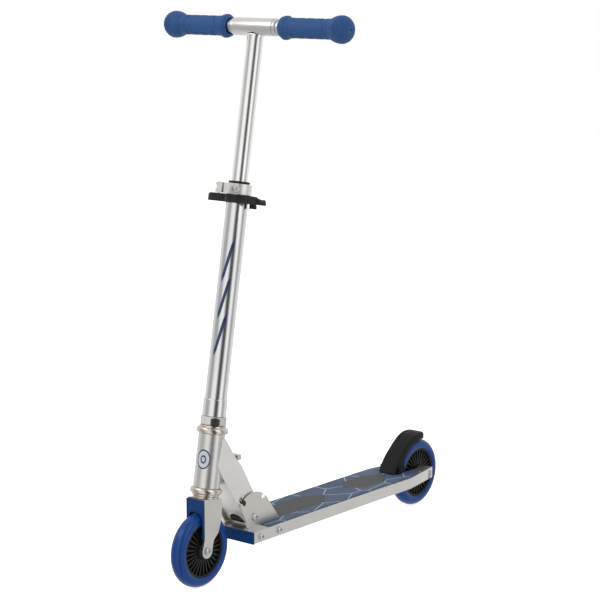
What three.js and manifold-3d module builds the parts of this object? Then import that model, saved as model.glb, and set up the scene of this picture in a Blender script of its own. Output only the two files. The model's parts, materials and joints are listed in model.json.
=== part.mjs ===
// Folding kick scooter with 120 mm wheels, a foot brake, a telescopic stem and pull-out handles.
// Millimetres. +Z is up and the scooter rides towards -Y, so +X is the rider's left.
// The origin is on the ground, midway between the wheels, on the mirror plane X = 0.
import * as THREE from "three";
import { mergeVertices } from "three/addons/utils/BufferGeometryUtils.js";
import Module from "manifold-3d";

const wasm = await Module();
wasm.setup();

// ---------- Driving dimensions ----------
const GAP = 0.3; // clearance between pieces that touch
const THROUGH = 60; // half length of a cutter that passes right through

const WHEEL_RADIUS = 60;
const WHEEL_HALF_WIDTH = 12;
const TYRE_SEAT_RADIUS = 43.5;
const HUB_HALF_WIDTH = 13.5;
const BEARING = { bore: 4.1, radius: 10.9, width: 7, spacerRadius: 6 };
const AXLE_RADIUS = 3.9;
const AXLE_Y = 290; // half of the wheelbase

const LEAN = THREE.MathUtils.degToRad(10.16); // the steering axis leans back
const FORK = { inner: 14, outer: 17, crownTop: 82, crownThickness: 3.5, rear: 35, front: -6.3 };
const STEERER = { radius: 15, top: 285 };
const HEAD = { radius: 21, bore: 18.2, bottom: 98.7, top: 184 };

const STEM = { radius: 17.5, bore: 15.5, bottom: 212, top: 575, buttonHoles: [520, 420, 325] };
const COLLAR = { radius: 19, bottom: 211.3, top: 238 };
const CLIP = {
  bottom: 545,
  top: 557.7,
  radius: 21.5,
  cradleX: 39,
  cradleY: -1,
  cradleBore: 12,
  cradleRadius: 16,
};
const CLAMP = {
  bottom: 558.3,
  top: 574.7,
  radius: 21,
  lugInner: 2,
  lugOuter: 13,
  lugFront: -38.5,
  skewerY: -25,
};
const LEVER = { pivotX: -19, discRadius: 5.7, pinRadius: 2.2, radius: 29, thickness: 2.4 };
const SKEWER = { radius: 2.5, end: 20, slotHalf: 3.2 };
const MAST = { radius: 12.7, bore: 11.2, bottom: 505 };
const TEE = { height: 819, radius: 13.75, bore: 11.4, halfLength: 39 };
const HANDLE = {
  radius: 11,
  bore: 9.2,
  start: 5,
  end: 169.5,
  shoulderRadius: 13.2,
  shoulderEnd: 45,
};
const BUTTON = { x: 29.5, radius: 2.9, top: 12.4, bottom: 8.2 };

const DECK = {
  halfWidth: 48,
  front: -213,
  taperStart: 215,
  rear: 303,
  rearHalfWidth: 32,
  thickness: 19,
};
const DECK_SLOPE = THREE.MathUtils.degToRad(0.72); // the deck falls slightly towards the rear
const SLOT = { halfWidth: 16, front: 226 };
const DECK_WALL = 2.6;
const CHANNELS = [[-45.4, -17], [-14, 14], [17, 45.4]]; // hollow chambers of the deck extrusion
const CHANNEL_END = 195;
const ARM_CHANNEL = [19.5, 29];
const TAPE = { inset: 3.5, front: -172, rear: 262, thickness: 0.8, margin: 0.8 };

const PIVOT = { y: -186.5, z: 93.1, radius: 5 };
const BRACKET = {
  inner: 22.6,
  outer: 26,
  arc: 41,
  foot: [-201.4, -124],
  tongue: 61.3,
  boltY: [-196, -150],
  boltZ: 67,
};
const CROSS_BOLT_RADIUS = 4;
const NECK = { inner: 19, outer: 22, webThickness: 2, footRadius: 15 };
const LOCK = {
  angle: 132,
  radius: 36.5,
  pinRadius: 3.5,
  halfLength: 23.5,
  slideAngle: 124.9,
  travel: 8.5,
  relief: 1.3,
};
const FOLD = 80; // degrees between the riding notch and the folded notch

const FENDER = {
  outer: 17.5,
  inner: 14,
  shellRadius: 63,
  frontFoot: [206, 76],
  tailY: 290,
  pinY: 222,
  pinZ: 80.5,
  pinRadius: 2.2,
};

const ROUND = 24; // sides of a large round piece
const SMALL_ROUND = 12; // sides of a bolt or pin
const HANDLE_ROUND = 20;
const WHEEL_ROUND = 32;

// ---------- Frames ----------
const rad = THREE.MathUtils.degToRad;
const moved = (x, y, z) => new THREE.Matrix4().makeTranslation(x, y, z);
const SIDEWAYS = new THREE.Matrix4().makeBasis(
  new THREE.Vector3(0, 1, 0),
  new THREE.Vector3(0, 0, 1),
  new THREE.Vector3(1, 0, 0),
);
const STEERING = moved(0, -AXLE_Y, WHEEL_RADIUS).multiply(new THREE.Matrix4().makeRotationX(-LEAN));

// ---------- Solids ----------
// A closed geometry as a solid that can be joined and cut.
function solid(geometry) {
  const bare = new THREE.BufferGeometry().setAttribute("position", geometry.getAttribute("position"));
  if (geometry.index) bare.setIndex(geometry.index);
  const merged = mergeVertices(bare, 1e-4);
  return new wasm.Manifold(
    new wasm.Mesh({
      numProp: 3,
      vertProperties: merged.attributes.position.array,
      triVerts: new Uint32Array(merged.index.array),
    }),
  );
}

function geometryOf(shape) {
  const mesh = shape.getMesh();
  const geometry = new THREE.BufferGeometry();
  geometry.setAttribute("position", new THREE.BufferAttribute(mesh.vertProperties, 3));
  geometry.setIndex(new THREE.BufferAttribute(mesh.triVerts, 1));
  geometry.computeVertexNormals();
  return geometry;
}

const join = (...shapes) => shapes.reduce((all, shape) => all.add(shape));
const cut = (base, ...cutters) => cutters.reduce((left, cutter) => left.subtract(cutter), base);

// A closed outline of [radius, height] points turned about Z.
function turnedUp(profile, sides = ROUND) {
  const points = [...profile, profile[0]].map(([radius, height]) => new THREE.Vector2(radius, height));
  const geometry = new THREE.LatheGeometry(points, sides).rotateX(Math.PI / 2);
  const shape = solid(geometry);
  if (shape.volume() > 0) return shape;
  return turnedUp([...profile].reverse(), sides);
}

const ring = (outer, inner, low, high, sides = ROUND) =>
  turnedUp([[inner, low], [outer, low], [outer, high], [inner, high]], sides);

// A plain shaft along Z.
function shaft(radius, low, high, sides = ROUND) {
  const geometry = new THREE.CylinderGeometry(radius, radius, high - low, sides);
  return solid(geometry.rotateX(Math.PI / 2).translate(0, 0, (low + high) / 2));
}

const transformed = (shape, matrix) => solid(geometryOf(shape).applyMatrix4(matrix));

// The same shape with its Z axis laid along +X, about a point of the (y, z) plane.
const TO_X = new THREE.Matrix4().makeRotationY(Math.PI / 2);
const across = (shape, y = 0, z = 0) => transformed(shape, moved(0, y, z).multiply(TO_X));

// A plan outline in (x, y), raised from one height to another.
function raised(outline, low, high, curveSegments = 8) {
  const options = { depth: high - low, bevelEnabled: false, curveSegments };
  return solid(new THREE.ExtrudeGeometry(outline, options).translate(0, 0, low));
}

// A side outline in (y, z), running from one x to another.
function plate(outline, low, high, curveSegments = 8) {
  const options = { depth: high - low, bevelEnabled: false, curveSegments };
  return solid(new THREE.ExtrudeGeometry(outline, options).translate(0, 0, low).applyMatrix4(SIDEWAYS));
}

function outlineOf(points) {
  return new THREE.Shape(points.map(([a, b]) => new THREE.Vector2(a, b)));
}

function box([x0, y0, z0], [x1, y1, z1]) {
  const geometry = new THREE.BoxGeometry(x1 - x0, y1 - y0, z1 - z0);
  return solid(geometry.translate((x0 + x1) / 2, (y0 + y1) / 2, (z0 + z1) / 2));
}

// Two distances from the mirror plane as [lower x, higher x] on the left (1) or right (-1) side.
const onSide = (side, near, far) => (side > 0 ? [near, far] : [-far, -near]);

const mirrored = (shape) => {
  const geometry = geometryOf(shape).toNonIndexed();
  const positions = geometry.getAttribute("position");
  const turned = new Float32Array(positions.array.length);
  for (let corner = 0; corner < positions.count; corner += 1) {
    const source = corner - (corner % 3) + (2 - (corner % 3));
    turned[corner * 3] = -positions.getX(source);
    turned[corner * 3 + 1] = positions.getY(source);
    turned[corner * 3 + 2] = positions.getZ(source);
  }
  return solid(new THREE.BufferGeometry().setAttribute("position", new THREE.BufferAttribute(turned, 3)));
};

// ---------- Materials ----------
function finish(color, roughness, metalness) {
  return new THREE.MeshStandardMaterial({ color, roughness, metalness });
}

const polished = finish(0xd9dbdc, 0.22, 1);
const satin = finish(0xc9c6c0, 0.4, 0.9);
const nickel = finish(0xb9ada0, 0.25, 1);
const steel = finish(0xb5b7ba, 0.3, 1);
const blueTyre = finish(0x1f4ea8, 0.35, 0);
const blueRubber = finish(0x2a4f8c, 0.7, 0);
const bluePlastic = finish(0x27468a, 0.45, 0);
const blackPlastic = finish(0x1b1c1e, 0.45, 0);
const tape = finish(0x46536b, 0.85, 0);

const scooter = new THREE.Group();

function group(parent, matrix = new THREE.Matrix4()) {
  const made = new THREE.Group();
  matrix.decompose(made.position, made.quaternion, made.scale);
  parent.add(made);
  return made;
}

function piece(parent, name, shape, material) {
  const mesh = new THREE.Mesh(geometryOf(shape), material);
  mesh.name = name;
  parent.add(mesh);
}

const steering = group(scooter, STEERING); // z runs up the steering axis from the front axle
const deckSlope = new THREE.Matrix4().makeRotationX(-DECK_SLOPE);
const deckTopAtPivot = PIVOT.z - 15.95;
const deckGroup = group(
  scooter,
  moved(0, PIVOT.y, deckTopAtPivot).multiply(deckSlope).multiply(moved(0, -PIVOT.y, 0)),
);

// ---------- Wheels ----------
const TREAD_STEPS = 6;

function tyre() {
  const points = [[TYRE_SEAT_RADIUS, -10.5], [46.5, -WHEEL_HALF_WIDTH]];
  for (let step = 0; step <= TREAD_STEPS; step += 1) {
    const turn = (Math.PI * step) / TREAD_STEPS - Math.PI / 2;
    points.push([50 + 10 * Math.cos(turn), WHEEL_HALF_WIDTH * Math.sin(turn)]);
  }
  points.push([46.5, WHEEL_HALF_WIDTH], [TYRE_SEAT_RADIUS, 10.5]);
  return across(turnedUp(points, WHEEL_ROUND));
}

function wheelCore() {
  const seat = BEARING.radius + 0.1;
  const shoulder = HUB_HALF_WIDTH - BEARING.width - 0.1;
  const rim = TYRE_SEAT_RADIUS - 0.1;
  const half = [
    [8, shoulder],
    [seat, shoulder],
    [seat, HUB_HALF_WIDTH],
    [14, HUB_HALF_WIDTH],
    [15, 6],
    [38, 6],
    [39.5, 10],
    [rim, 10],
  ];
  const other = half.map(([radius, x]) => [radius, -x]).reverse();
  return across(turnedUp([...half, ...other], WHEEL_ROUND));
}

function wheel(end, y) {
  const place = group(scooter, moved(0, y, WHEEL_RADIUS));
  piece(place, end + "_tyre", tyre(), blueTyre);
  piece(place, end + "_wheel_core", wheelCore(), blackPlastic);
  const bearingLow = HUB_HALF_WIDTH - BEARING.width;
  const bearing = across(ring(BEARING.radius, BEARING.bore, bearingLow, HUB_HALF_WIDTH, WHEEL_ROUND / 2));
  piece(place, end + "_bearing_left", bearing, steel);
  piece(place, end + "_bearing_right", mirrored(bearing), steel);
  const spacerHalf = bearingLow - GAP;
  const spacer = across(ring(BEARING.spacerRadius, BEARING.bore, -spacerHalf, spacerHalf, SMALL_ROUND));
  piece(place, end + "_bearing_spacer", spacer, steel);
}

wheel("front", -AXLE_Y);
wheel("rear", AXLE_Y);

// A shaft along X with a button head at its +X end.
function headedBolt(radius, reach, headStart, headRadius, headThickness, y, z) {
  const shank = shaft(radius, -reach, headStart + 1, SMALL_ROUND);
  const edge = headStart + headThickness;
  const head = turnedUp(
    [[0, headStart], [headRadius, headStart], [headRadius, edge - 1], [headRadius - 1.5, edge], [0, edge]],
    SMALL_ROUND,
  );
  return across(join(shank, head), y, z);
}

// A hexagon nut along X.
const nut = (radius, bore, low, high, y, z) =>
  across(cut(shaft(radius, low, high, 6), shaft(bore, low - 1, high + 1, SMALL_ROUND)), y, z);

const forkFace = FORK.outer + GAP;
piece(scooter, "front_axle", headedBolt(AXLE_RADIUS, 22, forkFace, 6.3, 3.4, -AXLE_Y, WHEEL_RADIUS), steel);
piece(
  scooter,
  "front_axle_nut",
  nut(6.8, AXLE_RADIUS + 0.1, -forkFace - 4.5, -forkFace, -AXLE_Y, WHEEL_RADIUS),
  steel,
);

// ---------- Deck ----------
const ARM_SPOTFACE = { x: 31, radius: 8 };

function deckOutline(inset, front, rear) {
  const side = DECK.halfWidth - inset;
  const fall = (DECK.halfWidth - DECK.rearHalfWidth) / (DECK.rear - DECK.taperStart);
  const rearSide = side - fall * (rear - DECK.taperStart);
  const slotSide = SLOT.halfWidth + inset / 3;
  const outline = new THREE.Shape();
  outline.moveTo(-side, front);
  outline.lineTo(side, front);
  outline.lineTo(side, DECK.taperStart);
  outline.lineTo(rearSide, rear);
  outline.lineTo(slotSide, rear);
  outline.lineTo(slotSide, SLOT.front + 6);
  outline.quadraticCurveTo(slotSide, SLOT.front, slotSide - 6, SLOT.front);
  outline.lineTo(6 - slotSide, SLOT.front);
  outline.quadraticCurveTo(-slotSide, SLOT.front, -slotSide, SLOT.front + 6);
  outline.lineTo(-slotSide, rear);
  outline.lineTo(-rearSide, rear);
  outline.lineTo(-side, DECK.taperStart);
  return outline;
}

// A shaft across the scooter, given in the deck's own sloping frame.
deckGroup.updateMatrix();
const toDeck = deckGroup.matrix.clone().invert();
const deckBore = (radius, y, z, low = -THROUGH, high = THROUGH) =>
  transformed(across(shaft(radius, low, high, SMALL_ROUND), y, z), toDeck);

function deckExtrusion() {
  let body = raised(deckOutline(0, DECK.front, DECK.rear), -DECK.thickness, 0, 3);
  const roof = -DECK_WALL;
  const floor = DECK_WALL - DECK.thickness;
  for (const [low, high] of CHANNELS) {
    body = cut(body, box([low, DECK.front - 1, floor], [high, CHANNEL_END, roof]));
  }
  for (const side of [-1, 1]) {
    const [near, far] = onSide(side, ...ARM_CHANNEL);
    body = cut(body, box([near, CHANNEL_END - 1, floor], [far, DECK.rear + 1, roof]));
    const slotX = onSide(side, BRACKET.inner - GAP, BRACKET.outer + GAP);
    const [start, end] = BRACKET.foot;
    body = cut(body, box([slotX[0], start - GAP, roof - 1], [slotX[1], end + GAP, 2]));
  }
  for (const y of BRACKET.boltY) body = cut(body, deckBore(CROSS_BOLT_RADIUS + GAP, y, BRACKET.boltZ));
  body = cut(body, deckBore(AXLE_RADIUS + GAP, AXLE_Y, WHEEL_RADIUS));
  body = cut(body, deckBore(ARM_SPOTFACE.radius, AXLE_Y, WHEEL_RADIUS, ARM_SPOTFACE.x, THROUGH));
  return cut(body, deckBore(ARM_SPOTFACE.radius, AXLE_Y, WHEEL_RADIUS, -THROUGH, -ARM_SPOTFACE.x));
}

piece(deckGroup, "deck", deckExtrusion(), satin);

function deckFrontCap() {
  const { halfWidth, front, thickness } = DECK;
  let cap = box([-halfWidth, front - 2, -thickness - 1], [halfWidth, front - GAP, 0.3]);
  for (const [low, high] of CHANNELS) {
    const bottom = DECK_WALL - thickness + GAP;
    cap = join(cap, box([low + GAP, front - 1, bottom], [high - GAP, front + 11, -DECK_WALL - GAP]));
  }
  return cap;
}

piece(deckGroup, "deck_front_cap", deckFrontCap(), bluePlastic);

function armCap() {
  const bottom = DECK_WALL - DECK.thickness + GAP;
  const [near, far] = ARM_CHANNEL;
  const cover = box(
    [SLOT.halfWidth + 0.4, DECK.rear + GAP, 0.6 - DECK.thickness],
    [DECK.rearHalfWidth - 0.4, DECK.rear + 3, -0.6],
  );
  const tongue = box([near + GAP, DECK.rear - 2, bottom], [far - GAP, DECK.rear + 1, -DECK_WALL - GAP]);
  return join(cover, tongue);
}

piece(deckGroup, "left_arm_cap", armCap(), blackPlastic);
piece(deckGroup, "right_arm_cap", mirrored(armCap()), blackPlastic);

function griptape() {
  const sheet = raised(deckOutline(TAPE.inset, TAPE.front, TAPE.rear), GAP, GAP + TAPE.thickness, 3);
  const [, end] = BRACKET.foot;
  const cutters = [-1, 1].map((side) => {
    const [low, high] = onSide(side, BRACKET.inner - TAPE.margin, BRACKET.outer + TAPE.margin);
    return box([low, TAPE.front - 1, -1], [high, end + TAPE.margin, 3]);
  });
  const mouthHalf = NECK.outer + TAPE.margin;
  const mouth = box([-mouthHalf, TAPE.front - 1, -1], [mouthHalf, end - 40, 3]);
  return cut(sheet, ...cutters, mouth);
}

piece(deckGroup, "griptape", griptape(), tape);

// Each cross bolt has a button head at both ends, the far one screwed into a sleeve.
["front", "rear"].forEach((end, index) => {
  const { boltY, boltZ } = BRACKET;
  const half = headedBolt(CROSS_BOLT_RADIUS, 1, DECK.halfWidth + GAP, 6.2, 3, boltY[index], boltZ);
  piece(scooter, "bracket_bolt_" + end, join(half, mirrored(half)), steel);
});

const armFace = ARM_SPOTFACE.x + GAP;
piece(scooter, "rear_axle", headedBolt(AXLE_RADIUS, 35, armFace, 6.3, 3.4, AXLE_Y, WHEEL_RADIUS), steel);
const rearNut = nut(6.8, AXLE_RADIUS + 0.1, -armFace - 4, -armFace, AXLE_Y, WHEEL_RADIUS);
piece(scooter, "rear_axle_nut", rearNut, steel);

// ---------- Folding bracket ----------
const atPivot = (points) => points.map(([y, z]) => [PIVOT.y + y, PIVOT.z + z]);
const polar = (radius, degrees) => [radius * Math.cos(rad(degrees)), radius * Math.sin(rad(degrees))];
const slideDirection = polar(1, LOCK.slideAngle);
const pinCentre = polar(LOCK.radius, LOCK.angle);

// Outline of a round-ended slot in the (y, z) plane about the pivot.
function slotOutline([y, z], direction, start, end, radius) {
  const outline = new THREE.Shape();
  const angle = Math.atan2(direction[1], direction[0]);
  const first = [PIVOT.y + y + direction[0] * start, PIVOT.z + z + direction[1] * start];
  const last = [PIVOT.y + y + direction[0] * end, PIVOT.z + z + direction[1] * end];
  outline.absarc(first[0], first[1], radius, angle + Math.PI / 2, angle + (3 * Math.PI) / 2, false);
  outline.absarc(last[0], last[1], radius, angle - Math.PI / 2, angle + Math.PI / 2, false);
  return outline;
}

const turnAboutPivot = (shape, degrees) =>
  transformed(
    shape,
    moved(0, PIVOT.y, PIVOT.z)
      .multiply(new THREE.Matrix4().makeRotationX(rad(degrees)))
      .multiply(moved(0, -PIVOT.y, -PIVOT.z)),
  );

// One side of the bracket: a quadrant with two lock notches, a tongue through the deck and an inner relief.
function bracketPlate() {
  const outline = new THREE.Shape();
  const [start, end] = BRACKET.foot;
  const footZ = PIVOT.z - 15.5;
  outline.moveTo(start, BRACKET.tongue);
  outline.lineTo(end, BRACKET.tongue);
  outline.lineTo(end, footZ);
  outline.lineTo(PIVOT.y + polar(BRACKET.arc, 41)[0], PIVOT.z + polar(BRACKET.arc, 41)[1]);
  outline.absarc(PIVOT.y, PIVOT.z, BRACKET.arc, rad(41), rad(145), false);
  outline.lineTo(start, footZ);
  let side = plate(outline, BRACKET.inner, BRACKET.outer, 14);
  const play = LOCK.pinRadius + 0.4;
  const notch = plate(slotOutline(pinCentre, slideDirection, 0, 20, play), 10, 40, 6);
  side = cut(side, notch, turnAboutPivot(notch, -FOLD));
  const reliefOutline = new THREE.Shape();
  reliefOutline.absarc(PIVOT.y, PIVOT.z, BRACKET.arc + 3, rad(LOCK.angle - FOLD), rad(LOCK.angle), false);
  reliefOutline.absarc(PIVOT.y, PIVOT.z, LOCK.radius - play, rad(LOCK.angle), rad(LOCK.angle - FOLD), true);
  side = cut(side, plate(reliefOutline, 10, BRACKET.inner + LOCK.relief, 14));
  side = cut(side, across(shaft(PIVOT.radius + GAP, 10, 40, SMALL_ROUND), PIVOT.y, PIVOT.z));
  for (const y of BRACKET.boltY) {
    side = cut(side, across(shaft(CROSS_BOLT_RADIUS + GAP, 10, 40, SMALL_ROUND), y, BRACKET.boltZ));
  }
  return side;
}

piece(scooter, "bracket_plate_left", bracketPlate(), satin);
piece(scooter, "bracket_plate_right", mirrored(bracketPlate()), satin);

const bracketFace = BRACKET.outer + GAP;
piece(scooter, "pivot_bolt", headedBolt(PIVOT.radius, 31, bracketFace, 6.5, 4, PIVOT.y, PIVOT.z), steel);
piece(
  scooter,
  "pivot_nut",
  nut(8, PIVOT.radius + 0.1, -bracketFace - 4.5, -bracketFace, PIVOT.y, PIVOT.z),
  steel,
);

// ---------- Neck ----------
function neck() {
  const top = [-66.9, 144.3];
  const webTop = [-70, 77];
  const webFoot = [-7, -13.3];
  const outline = outlineOf(atPivot([[-83, 100], webTop]));
  outline.absarc(PIVOT.y, PIVOT.z, NECK.footRadius, rad(-118), rad(8), false);
  for (const [y, z] of atPivot([[2.5, 41], [-25.5, 89], [-39.7, 105], top, [-72, 138]])) outline.lineTo(y, z);
  let body = plate(outline, NECK.inner, NECK.outer, 6);
  body = join(body, mirrored(body));
  const length = Math.hypot(webFoot[0] - webTop[0], webFoot[1] - webTop[1]);
  const along = [(webFoot[0] - webTop[0]) / length, (webFoot[1] - webTop[1]) / length];
  const inward = [-along[1] * NECK.webThickness, along[0] * NECK.webThickness];
  const web = outlineOf(
    atPivot([
      webTop,
      webFoot,
      [webFoot[0] + inward[0], webFoot[1] + inward[1]],
      [webTop[0] + inward[0], webTop[1] + inward[1]],
    ]),
  );
  body = join(body, plate(web, -NECK.inner - 1, NECK.inner + 1));
  const archRadius = 14;
  const archCentre = [PIVOT.y + webFoot[0] - along[0] * 8, PIVOT.z + webFoot[1] - along[1] * 8];
  const archTilt = Math.atan2(inward[1], inward[0]);
  const arch = transformed(
    join(shaft(archRadius, -10, 10, SMALL_ROUND), box([-archRadius, 0, -10], [archRadius, 30, 10])),
    moved(0, ...archCentre).multiply(new THREE.Matrix4().makeRotationX(archTilt - Math.PI / 2)),
  );
  body = cut(body, arch);
  const pinSlot = slotOutline(pinCentre, slideDirection, -0.3, LOCK.travel + 0.3, LOCK.pinRadius + GAP);
  body = cut(body, plate(pinSlot, -THROUGH, THROUGH, 6));
  body = cut(body, across(shaft(PIVOT.radius + GAP, -THROUGH, THROUGH, SMALL_ROUND), PIVOT.y, PIVOT.z));
  const tube = transformed(shaft(HEAD.radius, HEAD.bottom, HEAD.top, ROUND), STEERING);
  const bore = transformed(shaft(HEAD.bore, HEAD.bottom - 20, HEAD.top + 20, ROUND), STEERING);
  return cut(join(body, tube), bore);
}

piece(scooter, "neck", neck(), satin);
const sleeveHalf = NECK.inner - GAP;
piece(
  scooter,
  "pivot_sleeve",
  across(ring(8, PIVOT.radius + GAP, -sleeveHalf, sleeveHalf, SMALL_ROUND), PIVOT.y, PIVOT.z),
  steel,
);

// A coil of round wire about Z, from one height to another.
function coil(radius, wireRadius, low, high, turns) {
  class Helix extends THREE.Curve {
    getPoint(t, target = new THREE.Vector3()) {
      const turn = 2 * Math.PI * turns * t;
      return target.set(radius * Math.cos(turn), radius * Math.sin(turn), low + (high - low) * t);
    }
  }
  const section = new THREE.Shape();
  section.absarc(0, 0, wireRadius, 0, 2 * Math.PI, false);
  const options = { steps: turns * 8, curveSegments: 2, extrudePath: new Helix() };
  return solid(new THREE.ExtrudeGeometry(section, options));
}

// The return spring lies beside the pin carrier, between the pivot sleeve and the lock pin.
const springFrame = moved(12, PIVOT.y, PIVOT.z).multiply(
  new THREE.Matrix4().makeRotationX(rad(LOCK.angle) - Math.PI / 2),
);
piece(scooter, "release_spring", transformed(coil(3.2, 0.6, 9.5, 31, 6), springFrame), steel);

// ---------- Fold release ----------
const [pinY, pinZ] = pinCentre;
const onPin = (radius, halfLength) =>
  across(shaft(radius, -halfLength, halfLength, SMALL_ROUND), PIVOT.y + pinY, PIVOT.z + pinZ);

piece(scooter, "lock_pin", onPin(LOCK.pinRadius, LOCK.halfLength), steel);

const KNOB = { y: -30.2, z: 103.6, half: 4.4, halfWidth: 21, carrierHalfWidth: 6, bossRadius: 6.3 };

function pinCarrier() {
  const boss = onPin(KNOB.bossRadius, KNOB.carrierHalfWidth);
  const knobFoot = KNOB.z - KNOB.half - GAP;
  const strap = outlineOf(
    atPivot([[pinY - 1.5, pinZ], [pinY + 5, pinZ], [KNOB.y + 3, knobFoot], [KNOB.y - 3.5, knobFoot]]),
  );
  const pinHole = onPin(LOCK.pinRadius + 0.1, THROUGH);
  return cut(join(boss, plate(strap, -KNOB.carrierHalfWidth, KNOB.carrierHalfWidth)), pinHole);
}

piece(scooter, "pin_carrier", pinCarrier(), steel);

function releaseKnob() {
  const { y, z, half } = KNOB;
  const corner = 1.6;
  const outline = new THREE.Shape();
  outline.moveTo(PIVOT.y + y - half + corner, PIVOT.z + z - half);
  for (const [a, b] of [[1, -1], [1, 1], [-1, 1], [-1, -1]]) {
    outline.absarc(
      PIVOT.y + y + a * (half - corner),
      PIVOT.z + z + b * (half - corner),
      corner,
      Math.atan2(b, a) - Math.PI / 4,
      Math.atan2(b, a) + Math.PI / 4,
      false,
    );
  }
  return plate(outline, -KNOB.halfWidth, KNOB.halfWidth, 3);
}

piece(scooter, "release_knob", releaseKnob(), steel);

// ---------- Headset ----------
const cup = (base, direction) => {
  const profile = [
    [15.9, -6.3], [17.9, -6.3], [17.9, 0], [23.2, 0], [25, 2.4], [25, 6.4], [23.2, 9],
    [21.2, 9], [21.2, 12.6], [15.5, 12.6], [15.5, 9.3], [19.6, 9.3], [19.6, 3.3], [15.9, 3.3],
  ];
  return turnedUp(profile.map(([radius, height]) => [radius, base + direction * height]), HANDLE_ROUND);
};
const ballRing = (low, high) =>
  turnedUp(
    [[15.9, low + 1.5], [17.6, low], [19.2, low + 1.5], [19.2, high - 1.5], [17.6, high], [15.9, high - 1.5]],
    SMALL_ROUND,
  );

piece(steering, "upper_cup", cup(HEAD.top + GAP, 1), nickel);
piece(steering, "lower_cup", cup(HEAD.bottom - GAP, -1), nickel);
piece(steering, "upper_ball_ring", ballRing(HEAD.top + 4, HEAD.top + 9), steel);
piece(steering, "lower_ball_ring", ballRing(HEAD.bottom - 9, HEAD.bottom - 4), steel);
const crownRace = ring(20, STEERER.radius + GAP, FORK.crownTop + GAP, FORK.crownTop + 3.4);
piece(steering, "crown_race", crownRace, nickel);

const LOCK_NUT = { cornerRadius: 20.8, bottom: 197.6, top: 210.8 };
const lockNut = shaft(LOCK_NUT.cornerRadius, LOCK_NUT.bottom, LOCK_NUT.top, 6);
const steererBore = shaft(STEERER.radius + GAP, LOCK_NUT.bottom - 1, LOCK_NUT.top + 1);
piece(steering, "headset_lock_nut", cut(lockNut, steererBore), satin);

// ---------- Fork ----------
function fork() {
  const side = new THREE.Shape();
  const y = -AXLE_Y;
  const cosLean = Math.cos(LEAN);
  // Height of a crown surface, square to the steering axis, at a distance behind the axle.
  const crownHeight = (behind, up) => WHEEL_RADIUS + (up - behind * Math.sin(LEAN)) / cosLean;
  const { front, rear, crownTop, crownThickness } = FORK;
  side.moveTo(y + front, crownHeight(front, crownTop));
  side.lineTo(y + front, WHEEL_RADIUS + 20);
  side.lineTo(y - 11.2, WHEEL_RADIUS + 3);
  side.absarc(y, WHEEL_RADIUS, 11.5, rad(165), rad(360), false);
  for (const [behind, height] of [[14.5, 73], [18, 77.5], [26, 84], [33, 103], [36, 127]]) {
    side.lineTo(y + behind, height);
  }
  side.lineTo(y + rear, crownHeight(rear, crownTop));
  let legs = plate(side, FORK.inner, FORK.outer, 10);
  legs = join(legs, mirrored(legs));
  const under = crownTop - crownThickness;
  const crown = outlineOf([
    [y + front, crownHeight(front, crownTop)],
    [y + front, crownHeight(front, under)],
    [y + rear, crownHeight(rear, under)],
    [y + rear, crownHeight(rear, crownTop)],
  ]);
  let body = join(legs, plate(crown, -FORK.inner - 1, FORK.inner + 1));
  body = join(body, transformed(shaft(STEERER.radius, crownTop - 2, STEERER.top), STEERING));
  const hollow = shaft(STEERER.radius - 2.5, crownTop - 10, STEERER.top + 5);
  body = cut(body, transformed(hollow, STEERING));
  return cut(body, across(shaft(AXLE_RADIUS + 0.2, -THROUGH, THROUGH, SMALL_ROUND), y, WHEEL_RADIUS));
}

piece(scooter, "fork", fork(), satin);

function forkCover() {
  const width = 18;
  const arch = 13.8;
  const outline = new THREE.Shape();
  outline.moveTo(-width, 80);
  outline.lineTo(-arch, 80);
  outline.lineTo(-arch, 110);
  outline.absellipse(0, 110, arch, 14.5, Math.PI, 0, true);
  outline.lineTo(arch, 80);
  outline.lineTo(width, 80);
  outline.lineTo(width, 143);
  outline.lineTo(-width, 143);
  const geometry = new THREE.ExtrudeGeometry(outline, { depth: 3.4, bevelEnabled: false, curveSegments: 6 });
  return solid(geometry.rotateX(Math.PI / 2).translate(0, -AXLE_Y + FORK.front - GAP, 0));
}

piece(scooter, "fork_cover", forkCover(), bluePlastic);

// ---------- Stem ----------
// A shaft along the local Y axis, between two values of -y, at a given x and height.
function frontShaft(radius, low, high, x, height) {
  const upright = shaft(radius, low, high, SMALL_ROUND);
  return transformed(upright, moved(x, 0, height).multiply(new THREE.Matrix4().makeRotationX(Math.PI / 2)));
}

function lowerStemTube() {
  let tube = ring(STEM.radius, STEM.bore, STEM.bottom, STEM.top);
  const clampSlit = box([-1.5, -30, CLIP.bottom + 4], [1.5, -10, STEM.top + 5]);
  tube = cut(tube, clampSlit);
  const inspectionSlot = box([-2.2, -30, COLLAR.top + 2], [2.2, -10, COLLAR.top + 12]);
  tube = cut(tube, inspectionSlot);
  for (const height of STEM.buttonHoles) tube = cut(tube, frontShaft(4, 0, 30, 0, height));
  return tube;
}

piece(steering, "lower_stem_tube", lowerStemTube(), polished);
piece(steering, "stem_collar", ring(COLLAR.radius, STEM.radius + GAP, COLLAR.bottom, COLLAR.top), polished);

function clampCollar() {
  const { bottom, top, lugInner, lugOuter, lugFront, skewerY } = CLAMP;
  let collar = ring(CLAMP.radius, STEM.radius + GAP, bottom, top);
  for (const side of [-1, 1]) {
    const [low, high] = onSide(side, lugInner, lugOuter);
    collar = join(collar, box([low, lugFront, bottom], [high, -17, top]));
  }
  collar = cut(collar, shaft(STEM.radius + GAP, bottom - 1, top + 1));
  collar = cut(collar, box([-lugInner, lugFront - 1, bottom - 1], [lugInner, -15, top + 1]));
  const skewerHole = shaft(SKEWER.radius + 0.4, -THROUGH, THROUGH, SMALL_ROUND);
  return cut(collar, across(skewerHole, skewerY, (bottom + top) / 2));
}

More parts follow.
